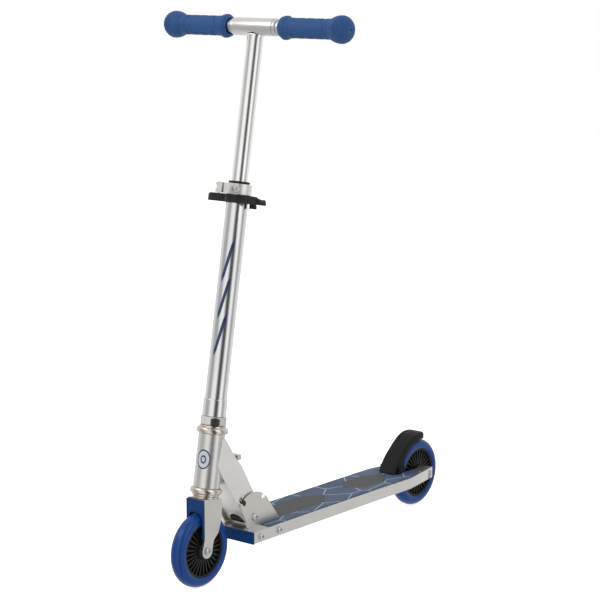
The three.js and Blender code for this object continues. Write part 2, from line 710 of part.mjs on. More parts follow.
const skewerZ = (CLAMP.bottom + CLAMP.top) / 2;
piece(steering, "clamp_collar", clampCollar(), polished);
const leverPlace = moved(LEVER.pivotX, CLAMP.skewerY, 0);

// The skewer ends in the cross pin that the lever turns on.
function clampSkewer() {
  const rod = across(shaft(SKEWER.radius, LEVER.pivotX, SKEWER.end, SMALL_ROUND), CLAMP.skewerY, skewerZ);
  const crossPin = shaft(LEVER.pinRadius, CLAMP.bottom - 1, CLAMP.top + 1, SMALL_ROUND);
  return join(rod, transformed(crossPin, leverPlace));
}

piece(steering, "clamp_skewer", clampSkewer(), steel);
const clampFace = CLAMP.lugOuter + GAP;
piece(
  steering,
  "clamp_nut",
  across(ring(6, SKEWER.radius + 0.1, clampFace, clampFace + 5, SMALL_ROUND), CLAMP.skewerY, skewerZ),
  steel,
);

// The bushing guides the mast inside the stem and rests on the stem's end with a thin flange.
function stemBushing() {
  const flangeTop = STEM.top + 3.8;
  return join(
    ring(STEM.bore - GAP, MAST.radius + 0.25, 548, flangeTop),
    ring(17, MAST.radius + 0.25, STEM.top + GAP, flangeTop),
  );
}

piece(steering, "stem_bushing", stemBushing(), blackPlastic);

// A bar in front of the stem joins two cradles that open to the rear, for handles that are pulled out.
function gripClip() {
  const { bottom, top, cradleX, cradleY, cradleBore, cradleRadius } = CLIP;
  let clip = shaft(CLIP.radius, bottom, top);
  const bores = [];
  for (const side of [-1, 1]) {
    const place = moved(side * cradleX, cradleY, 0);
    clip = join(clip, transformed(shaft(cradleRadius, bottom, top, 24), place));
    bores.push(transformed(shaft(cradleBore, bottom - 1, top + 1, 24), place));
    const mouthHalf = cradleBore * 0.8;
    const mouth = [side * cradleX - mouthHalf, side * cradleX + mouthHalf];
    bores.push(box([mouth[0], cradleY + 4, bottom - 1], [mouth[1], cradleY + 40, top + 1]));
  }
  const tab = box([20, 6, bottom - 7], [31, 11, bottom + 2]); // finger tab under the left cradle
  const bridge = box([-cradleX, -17, bottom], [cradleX, -9, top]);
  const stemBore = shaft(STEM.radius + GAP, bottom - 1, top + 1);
  return cut(join(clip, bridge, tab), ...bores, stemBore);
}

piece(steering, "grip_clip", gripClip(), blackPlastic);

// ---------- Quick-release lever ----------
function quickReleaseLever() {
  const { radius, thickness, discRadius } = LEVER;
  const [low, high] = [CLAMP.bottom + 0.4, CLAMP.top - 0.4];
  const from = rad(226);
  const to = rad(150);
  const sheet = new THREE.Shape();
  sheet.absarc(0, 0, radius + thickness, from, to, true);
  sheet.absarc(0, 0, radius, to, from, false);
  const arm = raised(sheet, low, high, 12);
  const discs = [[low, skewerZ - SKEWER.slotHalf], [skewerZ + SKEWER.slotHalf, high]].map(([bottom, top]) => {
    const disc = transformed(shaft(discRadius, bottom, top, SMALL_ROUND), leverPlace);
    const bridge = new THREE.Shape();
    bridge.moveTo(LEVER.pivotX - 4, CLAMP.skewerY - 4);
    bridge.lineTo(LEVER.pivotX, CLAMP.skewerY + 5.5);
    bridge.lineTo(radius * Math.cos(rad(214)), radius * Math.sin(rad(214)));
    bridge.lineTo((radius + 1) * Math.cos(from), (radius + 1) * Math.sin(from));
    return join(disc, raised(bridge, bottom, top));
  });
  const pinBore = transformed(shaft(LEVER.pinRadius + GAP, low - 2, high + 2, SMALL_ROUND), leverPlace);
  const skewerSlot = box(
    [LEVER.pivotX - 3, CLAMP.skewerY - 3, skewerZ - SKEWER.slotHalf],
    [0, CLAMP.skewerY + 3, skewerZ + SKEWER.slotHalf],
  );
  return cut(join(arm, ...discs), pinBore, skewerSlot);
}

piece(steering, "quick_release_lever", quickReleaseLever(), polished);

// ---------- Upper stem and handlebar ----------
function upperStemTube() {
  const mast = shaft(MAST.radius, MAST.bottom, TEE.height - 3);
  const tee = across(shaft(TEE.radius, -TEE.halfLength, TEE.halfLength), 0, TEE.height);
  let body = join(mast, tee);
  body = cut(body, shaft(MAST.bore, MAST.bottom - 1, TEE.height - 19));
  body = cut(body, across(shaft(TEE.bore, -THROUGH, THROUGH), 0, TEE.height));
  const keyHalf = BUTTON.radius + 0.4;
  for (const side of [-1, 1]) {
    const [low, high] = onSide(side, BUTTON.x - keyHalf, THROUGH);
    body = cut(body, box([low, 0, TEE.height - keyHalf], [high, BUTTON.top + GAP, TEE.height + keyHalf]));
    body = cut(body, buttonShaft(keyHalf, 5, 20, side, TEE.height));
  }
  const lockHole = frontShaft(3.4, -20, -5, 0, STEM.buttonHoles[0]);
  return cut(body, lockHole);
}

// A shaft on the line of a snap button, at the rear of the cross tube.
function buttonShaft(radius, low, high, side, height) {
  return frontShaft(radius, -high, -low, side * BUTTON.x, height);
}

piece(steering, "upper_stem_tube", upperStemTube(), polished);
const bushLow = MAST.bottom + 1;
const lowerBush = ring(STEM.bore - GAP, MAST.radius + 0.1, bushLow, bushLow + 8);
piece(steering, "upper_stem_bush", lowerBush, blackPlastic);
piece(steering, "height_button", frontShaft(3, -15.1, -9, 0, STEM.buttonHoles[0]), steel);

function handleTube() {
  const { radius, bore, start, end, shoulderRadius, shoulderEnd } = HANDLE;
  const stop = TEE.halfLength + GAP;
  const profile = [
    [bore, start], [radius, start], [radius, stop], [shoulderRadius, stop],
    [shoulderRadius, shoulderEnd - 1.2], [radius + 0.6, shoulderEnd], [radius, shoulderEnd],
    [radius, end], [bore, end],
  ];
  const tube = across(turnedUp(profile, HANDLE_ROUND), 0, TEE.height);
  return cut(tube, buttonShaft(BUTTON.radius + GAP, 4, 20, 1, TEE.height));
}

function grip() {
  const bore = HANDLE.radius + 0.1;
  const profile = [
    [bore, 52], [12.5, 52], [17.4, 55.5], [18.2, 57.5], [18.2, 64.5], [16, 67.5], [16, 145.5], [18, 149],
    [20.6, 151.5], [21, 155], [21, 170], [19, 175], [14, 178], [2.2, 178], [2.2, 170], [bore, 170],
  ];
  return across(turnedUp(profile, HANDLE_ROUND), 0, TEE.height);
}

const button = buttonShaft(BUTTON.radius, BUTTON.bottom, BUTTON.top, 1, TEE.height);
piece(steering, "left_handle_tube", handleTube(), polished);
piece(steering, "right_handle_tube", mirrored(handleTube()), polished);
piece(steering, "left_grip", grip(), blueRubber);
piece(steering, "right_grip", mirrored(grip()), blueRubber);
piece(steering, "left_snap_button", button, steel);
piece(steering, "right_snap_button", mirrored(button), steel);

// ---------- Foot brake ----------
// A front wall that leans back over the tyre, thin sides beside it, and a tail with a rounded end.
function brakeFender() {
  const { outer, inner, shellRadius, frontFoot, tailY } = FENDER;
  const back = [
    [222, 98], [241, 114], [256, 124.5], [268, 131], [280, 134.5],
    [292, 135], [302, 132.5], [307.3, 127], [306, 122.4],
  ];
  const wall = outlineOf([frontFoot, ...back]);
  wall.absarc(AXLE_Y, WHEEL_RADIUS, shellRadius, rad(75.6), rad(133), false);
  for (const point of [[226, 94.5], [212, 76.3]]) wall.lineTo(...point);
  const skirtOutline = outlineOf([frontFoot, ...back]);
  skirtOutline.absarc(AXLE_Y, WHEEL_RADIUS, shellRadius, rad(75.6), rad(148), false);
  skirtOutline.lineTo(237, 76.3);
  const skirt = plate(skirtOutline, inner, outer, 12);
  const shell = join(plate(wall, -outer, outer, 12), skirt, mirrored(skirt));
  const plan = new THREE.Shape();
  plan.moveTo(outer, 200);
  plan.absarc(0, tailY, outer, 0, Math.PI, false);
  plan.lineTo(-outer, 200);
  const rounded = shell.intersect(raised(plan, 70, 140, 10));
  const pinBore = shaft(FENDER.pinRadius + 0.2, -THROUGH, THROUGH, SMALL_ROUND);
  return cut(rounded, across(pinBore, FENDER.pinY, FENDER.pinZ));
}

piece(scooter, "brake_fender", brakeFender(), blackPlastic);
piece(
  scooter,
  "fender_pin",
  across(shaft(FENDER.pinRadius, -21.5, 21.5, SMALL_ROUND), FENDER.pinY, FENDER.pinZ),
  steel,
);

function fenderBracket() {
  const lugInner = FENDER.outer + 0.5;
  const lugOuter = lugInner + 2.2;
  const [low, high] = [FENDER.pinY - 6, FENDER.pinY + 6];
  const bottom = GAP + TAPE.thickness + GAP;
  const base = box([-lugOuter, low, bottom], [lugOuter, high, bottom + 1.5]);
  const lug = box([lugInner, low, bottom], [lugOuter, high, 14]);
  return cut(join(base, lug, mirrored(lug)), deckBore(FENDER.pinRadius + 0.2, FENDER.pinY, FENDER.pinZ));
}

piece(deckGroup, "fender_bracket", fenderBracket(), satin);
piece(
  scooter,
  "fender_spring",
  across(coil(3.3, 0.6, -5, 5, 4), FENDER.pinY, FENDER.pinZ),
  steel,
);

export default scooter;
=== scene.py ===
"""The looks of the folding kick scooter: smooth surfaces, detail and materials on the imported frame."""

import json
import math

import bmesh
import bpy
from mathutils import Matrix, Vector


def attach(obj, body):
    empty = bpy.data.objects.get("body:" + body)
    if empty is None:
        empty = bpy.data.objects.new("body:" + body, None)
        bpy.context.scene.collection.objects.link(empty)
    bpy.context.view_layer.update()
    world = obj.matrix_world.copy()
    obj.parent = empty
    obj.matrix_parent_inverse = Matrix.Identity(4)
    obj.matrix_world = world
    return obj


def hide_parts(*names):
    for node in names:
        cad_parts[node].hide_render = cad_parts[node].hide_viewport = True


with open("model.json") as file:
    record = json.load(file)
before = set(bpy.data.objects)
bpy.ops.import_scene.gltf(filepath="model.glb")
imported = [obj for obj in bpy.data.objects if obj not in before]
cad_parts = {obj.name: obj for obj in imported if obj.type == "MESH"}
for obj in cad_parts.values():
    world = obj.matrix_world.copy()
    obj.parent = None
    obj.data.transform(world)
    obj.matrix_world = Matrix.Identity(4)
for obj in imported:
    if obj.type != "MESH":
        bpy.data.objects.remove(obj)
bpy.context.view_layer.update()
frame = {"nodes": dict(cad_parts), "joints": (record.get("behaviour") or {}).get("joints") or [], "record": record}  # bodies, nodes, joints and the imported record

MM = 0.001
ROUND = 96  # sides of a turned piece
joints = {joint["name"]: joint for joint in frame["joints"]}
body_of_node = {
    node: body for body, nodes in frame["record"]["behaviour"]["bodies"].items() for node in nodes
}
slot_of_node = {row["node"]: row["material_slot"] for row in frame["record"]["subparts"]}

# ---------- Frames of reference ----------
steer_axis = Vector(joints["steer"]["axis"]).normalized()
LEAN = math.atan2(steer_axis.y, steer_axis.z)
STEERING = Matrix.Translation(joints["steer"]["pos_m"]) @ Matrix.Rotation(-LEAN, 4, "X")
TO_X = Matrix.Rotation(math.pi / 2, 4, "Y")


def along_x(y, z, mirror=False):
    """A frame at a place in the YZ plane whose own Z axis runs along +X, or along -X when mirrored."""
    turn = Matrix.Rotation(-math.pi / 2, 4, "Y") if mirror else TO_X
    return Matrix.Translation((0, y, z)) @ turn


def span(node, matrix=Matrix.Identity(4)):
    """Lowest and highest corner of a node in another frame."""
    inverse = matrix.inverted()
    points = [inverse @ vertex.co for vertex in frame["nodes"][node].data.vertices]
    low = Vector([min(point[i] for point in points) for i in range(3)])
    high = Vector([max(point[i] for point in points) for i in range(3)])
    return low, high


# ---------- Materials ----------
class Nodes:
    """A short way to write a material's node graph."""

    def __init__(self, name):
        self.material = bpy.data.materials.new(name)
        self.material.use_nodes = True
        self.tree = self.material.node_tree
        self.shader = self.tree.nodes["Principled BSDF"]
        self.place = self.add("ShaderNodeTexCoord").outputs["Object"]

    def add(self, kind, **settings):
        node = self.tree.nodes.new(kind)
        for key, value in settings.items():
            setattr(node, key, value)
        return node

    def link(self, source, target):
        self.tree.links.new(source, target)

    def math(self, operation, first, second=0.0):
        node = self.add("ShaderNodeMath", operation=operation)
        for socket, value in zip(node.inputs, (first, second)):
            if isinstance(value, (int, float)):
                socket.default_value = value
            else:
                self.link(value, socket)
        return node.outputs[0]

    def mapped(self, scale, lean=0.0):
        """Object coordinates, stretched along the axes of a frame that leans about X."""
        node = self.add("ShaderNodeMapping", vector_type="TEXTURE")
        node.inputs["Rotation"].default_value = (-lean, 0, 0)
        node.inputs["Scale"].default_value = [1 / value for value in scale]
        self.link(self.place, node.inputs["Vector"])
        return node.outputs[0]

    def noise(self, scale, lean=0.0, detail=4.0):
        node = self.add("ShaderNodeTexNoise")
        node.inputs["Scale"].default_value = 1.0
        node.inputs["Detail"].default_value = detail
        self.link(self.mapped(scale, lean), node.inputs["Vector"])
        return node.outputs["Fac"]

    def between(self, factor, low, high):
        node = self.add("ShaderNodeMapRange")
        self.link(factor, node.inputs["Value"])
        node.inputs["From Min"].default_value = 0.25
        node.inputs["From Max"].default_value = 0.75
        node.inputs["To Min"].default_value = low
        node.inputs["To Max"].default_value = high
        return node.outputs["Result"]

    def mix(self, factor, first, second):
        node = self.add("ShaderNodeMix", data_type="RGBA")
        sockets = {"Factor": node.inputs[0], "A": node.inputs[6], "B": node.inputs[7]}
        for key, value in (("Factor", factor), ("A", first), ("B", second)):
            if isinstance(value, (int, float)):
                sockets[key].default_value = value
            elif isinstance(value, tuple):
                sockets[key].default_value = (*value, 1)
            else:
                self.link(value, sockets[key])
        return node.outputs[2]

    def bump(self, height, strength, distance):
        node = self.add("ShaderNodeBump")
        node.inputs["Strength"].default_value = strength
        node.inputs["Distance"].default_value = distance
        self.link(height, node.inputs["Height"])
        self.link(node.outputs["Normal"], self.shader.inputs["Normal"])

    def painted_edge_highlight(self, colour, edge_highlight, amount):
        """A painted highlight: a lighter tone where a corner stands proud, in place of the light an edge
        catches.
        """
        geometry = self.add("ShaderNodeNewGeometry")
        edge = self.add("ShaderNodeMapRange")
        edge.inputs["From Min"].default_value = 0.52
        edge.inputs["From Max"].default_value = 0.62
        edge.inputs["To Max"].default_value = amount
        self.link(geometry.outputs["Pointiness"], edge.inputs["Value"])
        return self.mix(edge.outputs["Result"], colour, edge_highlight)


def metal(name, colour, roughness, spread, grain=(900, 900, 900), lean=0.0, relief=0.04):
    n = Nodes(name)
    n.shader.inputs["Metallic"].default_value = 1.0
    fine = n.noise(grain, lean)
    broad = n.noise((18, 18, 18))
    dark = tuple(channel * 0.9 for channel in colour)
    n.link(n.mix(n.between(broad, 0, 1), dark, colour), n.shader.inputs["Base Color"])
    n.link(n.between(fine, roughness - spread, roughness + spread), n.shader.inputs["Roughness"])
    n.bump(fine, relief, 0.0002)
    return n.material


def moulded(name, colour, roughness, grain=1400.0, relief=0.12, coat=0.0, edge_highlight=1.35, shine=0.5):
    n = Nodes(name)
    n.shader.inputs["Specular IOR Level"].default_value = shine
    fine = n.noise((grain, grain, grain))
    broad = n.noise((25, 25, 25))
    deep = tuple(channel * 0.82 for channel in colour)
    # Painted highlight: the lighter tone given to proud edges, standing in for light caught there.
    light = tuple(min(1, channel * edge_highlight + 0.004) for channel in colour)
    toned = n.mix(n.between(broad, 0, 1), deep, colour)
    n.link(n.painted_edge_highlight(toned, light, 0.5), n.shader.inputs["Base Color"])
    n.link(n.between(broad, roughness - 0.06, roughness + 0.06), n.shader.inputs["Roughness"])
    n.shader.inputs["Coat Weight"].default_value = coat
    n.shader.inputs["Coat Roughness"].default_value = 0.15
    n.bump(fine, relief, 0.0002)
    return n.material


def printed_griptape():
    """A gritty sheet: slate blue with a pale mosaic of lines and two long dark hexagons."""
    n = Nodes("printed_griptape")
    split = n.add("ShaderNodeSeparateXYZ")
    n.link(n.place, split.inputs[0])
    x, y = split.outputs["X"], split.outputs["Y"]
    cells = n.add("ShaderNodeTexVoronoi", feature="DISTANCE_TO_EDGE", voronoi_dimensions="2D")
    cells.inputs["Scale"].default_value = 1.0
    cells.inputs["Randomness"].default_value = 0.75
    n.link(n.mapped((26, 17, 1)), cells.inputs["Vector"])
    line = n.math("LESS_THAN", cells.outputs["Distance"], 0.022)
    tone = n.noise((14, 9, 14), detail=2)
    ground = n.mix(n.between(tone, 0, 1), (0.027, 0.058, 0.122), (0.066, 0.108, 0.185))
    lined = n.mix(line, ground, (0.33, 0.46, 0.66))
    side = n.math("ABSOLUTE", x)
    inside = None
    for middle, half_length, half_width in ((-0.062, 0.092, 0.026), (0.142, 0.062, 0.025)):
        along = n.math("ABSOLUTE", n.math("SUBTRACT", y, middle))
        pointed = n.math("ADD", along, n.math("MULTIPLY", side, 1.3))
        narrow = n.math("LESS_THAN", side, half_width)
        short = n.math("LESS_THAN", pointed, half_length)
        patch = n.math("MULTIPLY", narrow, short)
        inside = patch if inside is None else n.math("MAXIMUM", inside, patch)
    speck = n.noise((1500, 1500, 1500), detail=2)
    dark = n.mix(n.between(speck, 0, 1), (0.03, 0.03, 0.03), (0.072, 0.07, 0.067))
    base = n.mix(inside, lined, dark)
    n.link(n.mix(n.between(speck, 0, 0.11), base, (0.5, 0.54, 0.6)), n.shader.inputs["Base Color"])
    n.link(n.between(speck, 0.55, 0.85), n.shader.inputs["Roughness"])
    n.bump(speck, 0.35, 0.0004)
    return n.material


LENGTHWISE = (1100, 1100, 6)  # fine across a tube, drawn out along it
EXTRUDED = (900, 8, 900)  # the same, along the deck
MATERIALS = {
    "polished_aluminium": metal("polished_aluminium", (0.86, 0.86, 0.87), 0.14, 0.04, LENGTHWISE, LEAN, 0.05),
    "bright_tube": metal("bright_tube", (0.99, 0.985, 0.975), 0.17, 0.04, LENGTHWISE, LEAN, 0.05),
    "brushed_tube": metal("brushed_tube", (0.80, 0.79, 0.77), 0.33, 0.06, LENGTHWISE, LEAN, 0.08),
    "satin_aluminium": metal("satin_aluminium", (0.80, 0.785, 0.76), 0.36, 0.07, EXTRUDED, 0.0, 0.08),
    "satin_steel": metal("satin_steel", (0.805, 0.78, 0.74), 0.36, 0.06, (700, 700, 700), 0.0, 0.06),
    "bright_steel": metal("bright_steel", (0.985, 0.965, 0.93), 0.4, 0.06, (700, 700, 700), 0.0, 0.06),
    "nickel": metal("nickel", (0.72, 0.66, 0.58), 0.2, 0.05),
    "zinc_steel": metal("zinc_steel", (0.66, 0.66, 0.67), 0.26, 0.07),
    "dark_steel": metal("dark_steel", (0.09, 0.09, 0.09), 0.45, 0.08),
    "blue_tyre": moulded("blue_tyre", (0.0, 0.064, 0.31), 0.33, 900, 0.01, 0.15, 1.2, 0.3),
    "blue_rubber": moulded("blue_rubber", (0.028, 0.108, 0.31), 0.62, 1600, 0.2, 0.0, 1.2, 0.35),
    "blue_plastic": moulded("blue_plastic", (0.003, 0.05, 0.2), 0.45, 1500, 0.12, 0.0, 1.3, 0.22),
    "black_core": moulded("black_core", (0.01, 0.01, 0.0105), 0.45, 1200, 0.1, 0.0, 1.6, 0.35),
    "brake_black": moulded("brake_black", (0.0055, 0.006, 0.007), 0.5, 1500, 0.1, 0.0, 1.5, 0.22),
    "black_plastic": moulded("black_plastic", (0.008, 0.008, 0.009), 0.42, 1500, 0.12, 0.08, 1.4, 0.35),
    "printed_griptape": printed_griptape(),
    "graphic_navy": moulded("graphic_navy", (0.02, 0.045, 0.15), 0.35, 1500, 0.03, 0.3),
    "graphic_white": moulded("graphic_white", (0.78, 0.81, 0.86), 0.35, 1500, 0.03, 0.3),
}


# ---------- Building pieces ----------
def make(name, bm, matrix=Matrix.Identity(4)):
    bmesh.ops.remove_doubles(bm, verts=bm.verts, dist=1e-7)
    bmesh.ops.transform(bm, matrix=matrix, verts=bm.verts)
    bmesh.ops.recalc_face_normals(bm, faces=bm.faces)
    mesh = bpy.data.meshes.new(name)
    bm.to_mesh(mesh)
    bm.free()
    piece = bpy.data.objects.new(name, mesh)
    bpy.context.scene.collection.objects.link(piece)
    return piece


def shade(piece, angle=35):
    piece.data.shade_smooth()
    piece.data.set_sharp_from_angle(angle=math.radians(angle))


def place(piece, body, slot, replaced=(), material=None, angle=35):
    """Shading, material (the slot's own unless another is named) and body of a finished piece."""
    shade(piece, angle)
    piece.data.materials.clear()
    piece.data.materials.append(MATERIALS[material or slot])
    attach(piece, body)
    if replaced:
        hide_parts(*replaced)
    return piece


def stands_for(piece, node, material=None, angle=35):
    """Places a piece that takes the place of one CAD node."""
    return place(piece, body_of_node[node], slot_of_node[node], (node,), material, angle)


def bevelled(piece, width, segments=3, angle=32):
    modifier = piece.modifiers.new("bevel", "BEVEL")
    modifier.width = width
    modifier.segments = segments
    modifier.limit_method = "ANGLE"
    modifier.angle_limit = math.radians(angle)
    weighted = piece.modifiers.new("weighted_normals", "WEIGHTED_NORMAL")
    weighted.keep_sharp = True
    return piece


def turned_mesh(profile, sides=ROUND, closed=True):
    """A bmesh of [radius, height] points turned about Z."""
    bm = bmesh.new()
    rings = []
    for radius, height in profile:
        ring = []
        for index in range(sides):
            turn = 2 * math.pi * index / sides
            ring.append(bm.verts.new((radius * math.cos(turn), radius * math.sin(turn), height)))
        rings.append(ring)
    pairs = list(zip(rings, rings[1:]))
    if closed:
        pairs.append((rings[-1], rings[0]))
    for low, high in pairs:
        for index in range(sides):
            after = (index + 1) % sides
            bm.faces.new((low[index], low[after], high[after], high[index]))
    return bm


def rounded(profile, radius, steps=4):
    """The closed profile with each corner replaced by a short curve, no larger than its edges allow."""
    points = [Vector(point) for point in profile]
    smooth = []
    for index, corner in enumerate(points):
        before = points[index - 1] - corner
        after = points[(index + 1) % len(points)] - corner
        reach = min(radius, before.length * 0.45, after.length * 0.45)
        start = corner + before.normalized() * reach
        end = corner + after.normalized() * reach
        for step in range(steps + 1):
            t = step / steps
            smooth.append(tuple((1 - t) ** 2 * start + 2 * t * (1 - t) * corner + t**2 * end))
    return smooth


def turned(name, profile, matrix, round_by=0.0, sides=ROUND):
    points = rounded(profile, round_by) if round_by else profile
    return make(name, turned_mesh(points, sides), matrix)


def sleeve(node, wall, matrix=STEERING, round_by=0.4 * MM):
    """A smooth tube on the extents of a CAD tube, without its holes and slits."""
    low, high = span(node, matrix)
    radius = high.x
    profile = [(radius - wall, low.z), (radius, low.z), (radius, high.z), (radius - wall, high.z)]
    return stands_for(turned(node + "_smooth", profile, matrix, round_by), node)


def dressed(node, width, segments=3, angle=32, material=None):
    """A copy of a CAD node with its flat facets merged and its edges broken."""
    bm = bmesh.new()
    bm.from_mesh(frame["nodes"][node].data)
    bmesh.ops.remove_doubles(bm, verts=bm.verts, dist=2e-6)
    flat = math.radians(1.0)
    bmesh.ops.dissolve_limit(bm, angle_limit=flat, verts=bm.verts, edges=bm.edges)
    piece = make(node + "_finished", bm)
    bevelled(piece, width, segments, angle)
    return stands_for(piece, node, material, angle)


def merged(name, *meshes):
    """Several closed shells as one piece."""
    bm = bmesh.new()
    for part in meshes:
        mesh = bpy.data.meshes.new("part")
        part.to_mesh(mesh)
        part.free()
        bm.from_mesh(mesh)
        bpy.data.meshes.remove(mesh)
    return make(name, bm)


def moved(bm, matrix):
    bmesh.ops.transform(bm, matrix=matrix, verts=bm.verts)
    return bm


# ---------- Wheels ----------
TYRE_DEPTH = 16.5 * MM  # from the tread to the seat on the core
TREAD_RISE = 10 * MM  # height of the rounded tread
SIDE_WALL = 13 * MM  # from the tread to the inner edge of a side wall


def tyre(end):
    node = end + "_tyre"
    low, high = span(node)
    centre = (low + high) / 2
    radius = (high.z - low.z) / 2
    half = (high.x - low.x) / 2
    seat = radius - TYRE_DEPTH
    wall = radius - SIDE_WALL
    points = [(seat, -half + 1.5 * MM), (seat + 1.2 * MM, -half + 0.4 * MM), (wall, -half)]
    steps = 28
    for step in range(steps + 1):
        turn = math.pi * step / steps - math.pi / 2
        bulge = TREAD_RISE * math.cos(turn) ** 0.92 if 0 < step < steps else 0
        points.append((radius - TREAD_RISE + bulge, half * math.sin(turn)))
    parting = len(points) // 2 + 1
    points[parting] = (points[parting][0] - 0.06 * MM, points[parting][1])
    points += [(wall, half), (seat + 1.2 * MM, half - 0.4 * MM), (seat, half - 1.5 * MM)]
    piece = turned(node + "_cast", points, along_x(centre.y, centre.z), sides=160)
    stands_for(piece, node, angle=60)


FIN_COUNT = 28  # on each side of a core


def fin(inner, outer, root, tip, thickness):
    """One radial fin standing on the web: thicker at its root than at its crest."""
    bm = bmesh.new()
    corners = []
    for reach, top in ((inner, tip), (outer, tip * 0.93)):
        for height, half in ((root, thickness * 0.6), (top, thickness * 0.45)):
            corners.append([bm.verts.new((reach, side * half, height)) for side in (-1, 1)])
    a, b, c, d = corners  # inner root, inner crest, outer root, outer crest
    for face in (
        (a[0], a[1], b[1], b[0]),
        (c[1], c[0], d[0], d[1]),
        (a[0], b[0], d[0], c[0]),
        (a[1], c[1], d[1], b[1]),
        (b[0], b[1], d[1], d[0]),
        (a[1], a[0], c[0], c[1]),
    ):
        bm.faces.new(face)
    return bm


def wheel_core(end):
    """A moulded core: hub, thin web, rim band and a ring of fins on each side."""
    node = end + "_wheel_core"
    low, high = span(node)
    centre = (low + high) / 2
    rim = (high.z - low.z) / 2
    half = (high.x - low.x) / 2
    web = 2.2 * MM
    rim_half = 10 * MM
    hub = 13.4 * MM
    side = [
        (8 * MM, 6.5 * MM), (11 * MM, 6.5 * MM), (11 * MM, half), (hub, half),
        (hub + 0.9 * MM, half - 3 * MM), (hub + 1.4 * MM, web),
        (rim - 4.2 * MM, web), (rim - 3.2 * MM, rim_half), (rim, rim_half),
    ]
    profile = side + [(radius, -height) for radius, height in reversed(side)]
    parts = [turned_mesh(rounded(profile, 0.6 * MM, 3), 96)]
    for index in range(FIN_COUNT):
        turn = Matrix.Rotation(2 * math.pi * index / FIN_COUNT, 4, "Z")
        for flip in (Matrix.Identity(4), Matrix.Rotation(math.pi, 4, "X")):
            blade = fin(hub + 0.4 * MM, rim - 3.0 * MM, web - 0.6 * MM, 8.6 * MM, 2.5 * MM)
            parts.append(moved(blade, turn @ flip))
    piece = merged(node + "_moulded", *parts)
    piece.data.transform(along_x(centre.y, centre.z))
    stands_for(piece, node, angle=40)


def bearing(end, side):
    """A ball bearing with two rings and a recessed dust shield."""
    node = f"{end}_bearing_{side}"
    low, high = span(node)
    centre = (low + high) / 2
    half = (high.x - low.x) / 2
    outer = (high.z - low.z) / 2
    profile = [
        (4.05 * MM, -half), (outer, -half), (outer, half), (outer - 1.8 * MM, half),
        (outer - 2.0 * MM, half - 0.5 * MM), (6.3 * MM, half - 0.5 * MM), (6.1 * MM, half), (4.05 * MM, half),
    ]
    outward = TO_X if side == "left" else TO_X.inverted()
    matrix = Matrix.Translation(centre) @ outward
    stands_for(turned(node + "_shielded", profile, matrix, 0.2 * MM, 48), node)


for end in ("front", "rear"):
    tyre(end)
    wheel_core(end)
    for side in ("left", "right"):
        bearing(end, side)


# ---------- Stem, headset and handlebar ----------
sleeve("lower_stem_tube", 2 * MM)
sleeve("stem_collar", 1.7 * MM, round_by=0.9 * MM)
sleeve("crown_race", 4 * MM, round_by=1.0 * MM)


def headset_cup(node, upward):
    """A headset cup turned from one profile: a spigot in the head tube, a flange and a lip."""
    low, high = span(node, STEERING)
    if upward:
        base, sign = low.z + 6.3 * MM, 1
    else:
        base, sign = high.z - 6.3 * MM, -1
    profile = [
        (15.9, -6.3), (17.9, -6.3), (17.9, 0), (22.4, 0), (24.2, 1.0), (25, 3.2), (25, 5.8),
        (24.3, 8.0), (22.6, 9.2), (21.4, 9.4), (21.2, 12.6), (15.5, 12.6), (15.5, 9.3),
        (19.6, 9.3), (19.6, 3.3), (15.9, 3.3),
    ]
    points = [(radius * MM, base + sign * height * MM) for radius, height in profile]
    stands_for(turned(node + "_pressed", points, STEERING, 0.9 * MM), node)


headset_cup("upper_cup", True)
headset_cup("lower_cup", False)
dressed("headset_lock_nut", 0.8 * MM)


def bushing():
    low, _ = span("stem_bushing", STEERING)
    profile = [
        (12.95, 0), (15.2, 0), (15.2, 27.3), (16.4, 27.3),
        (17, 28.2), (17, 30), (16.4, 30.8), (12.95, 30.8),
    ]
    points = [(radius * MM, low.z + height * MM) for radius, height in profile]
    stands_for(turned("stem_bushing_moulded", points, STEERING, 0.4 * MM), "stem_bushing")


bushing()

grip_low, grip_high = span("left_grip", STEERING)
TEE_HEIGHT = (grip_low.z + grip_high.z) / 2
SNAP_BUTTON_X = 29.5 * MM  # from the middle of the bar
HEAD_TUBE_RADIUS = 21 * MM
BAR = STEERING @ Matrix.Translation((0, 0, TEE_HEIGHT))


def boolean(piece, cutter, operation):
    """Joins, cuts or crosses one piece with another and removes the second."""
    modifier = piece.modifiers.new("boolean", "BOOLEAN")
    modifier.object = cutter
    modifier.operation = operation
    modifier.solver = "EXACT"
    graph = bpy.context.evaluated_depsgraph_get()
    mesh = bpy.data.meshes.new_from_object(piece.evaluated_get(graph))
    piece.modifiers.clear()
    piece.data = mesh
    bpy.data.objects.remove(cutter)
    return piece


def upper_stem():
    """The mast with its weld fillet, and the cross tube with a hole for each snap button."""
    low, high = span("upper_stem_tube", STEERING)
    bore, radius, tee_bore, tee_radius = 11.2 * MM, 12.7 * MM, 11.4 * MM, 13.75 * MM
    top = TEE_HEIGHT - tee_bore - 0.4 * MM
    weld = [
        (radius, TEE_HEIGHT - 17 * MM), (radius + 0.4 * MM, TEE_HEIGHT - 14.5 * MM),
        (radius + 1.3 * MM, TEE_HEIGHT - 12.6 * MM), (radius + 1.0 * MM, top), (bore, top),
    ]
    mast = turned("mast_drawn", [(bore, low.z), (radius, low.z), *weld], STEERING)
    stands_for(mast, "upper_stem_tube", "bright_tube")
    wall = [(tee_bore, -high.x), (tee_radius, -high.x), (tee_radius, high.x), (tee_bore, high.x)]
    cross = turned("cross_tube", wall, BAR @ TO_X, 0.5 * MM)
    for side in (-1, 1):
        rear = Matrix.Translation((side * SNAP_BUTTON_X, 0, 0)) @ Matrix.Rotation(-math.pi / 2, 4, "X")
        drill = [(0, 5 * MM), (3.3 * MM, 5 * MM), (3.3 * MM, 20 * MM), (0, 20 * MM)]
        cross = boolean(cross, turned("drill", drill, BAR @ rear, sides=32), "DIFFERENCE")
    stands_for(cross, "upper_stem_tube", "brushed_tube", angle=30)


upper_stem()


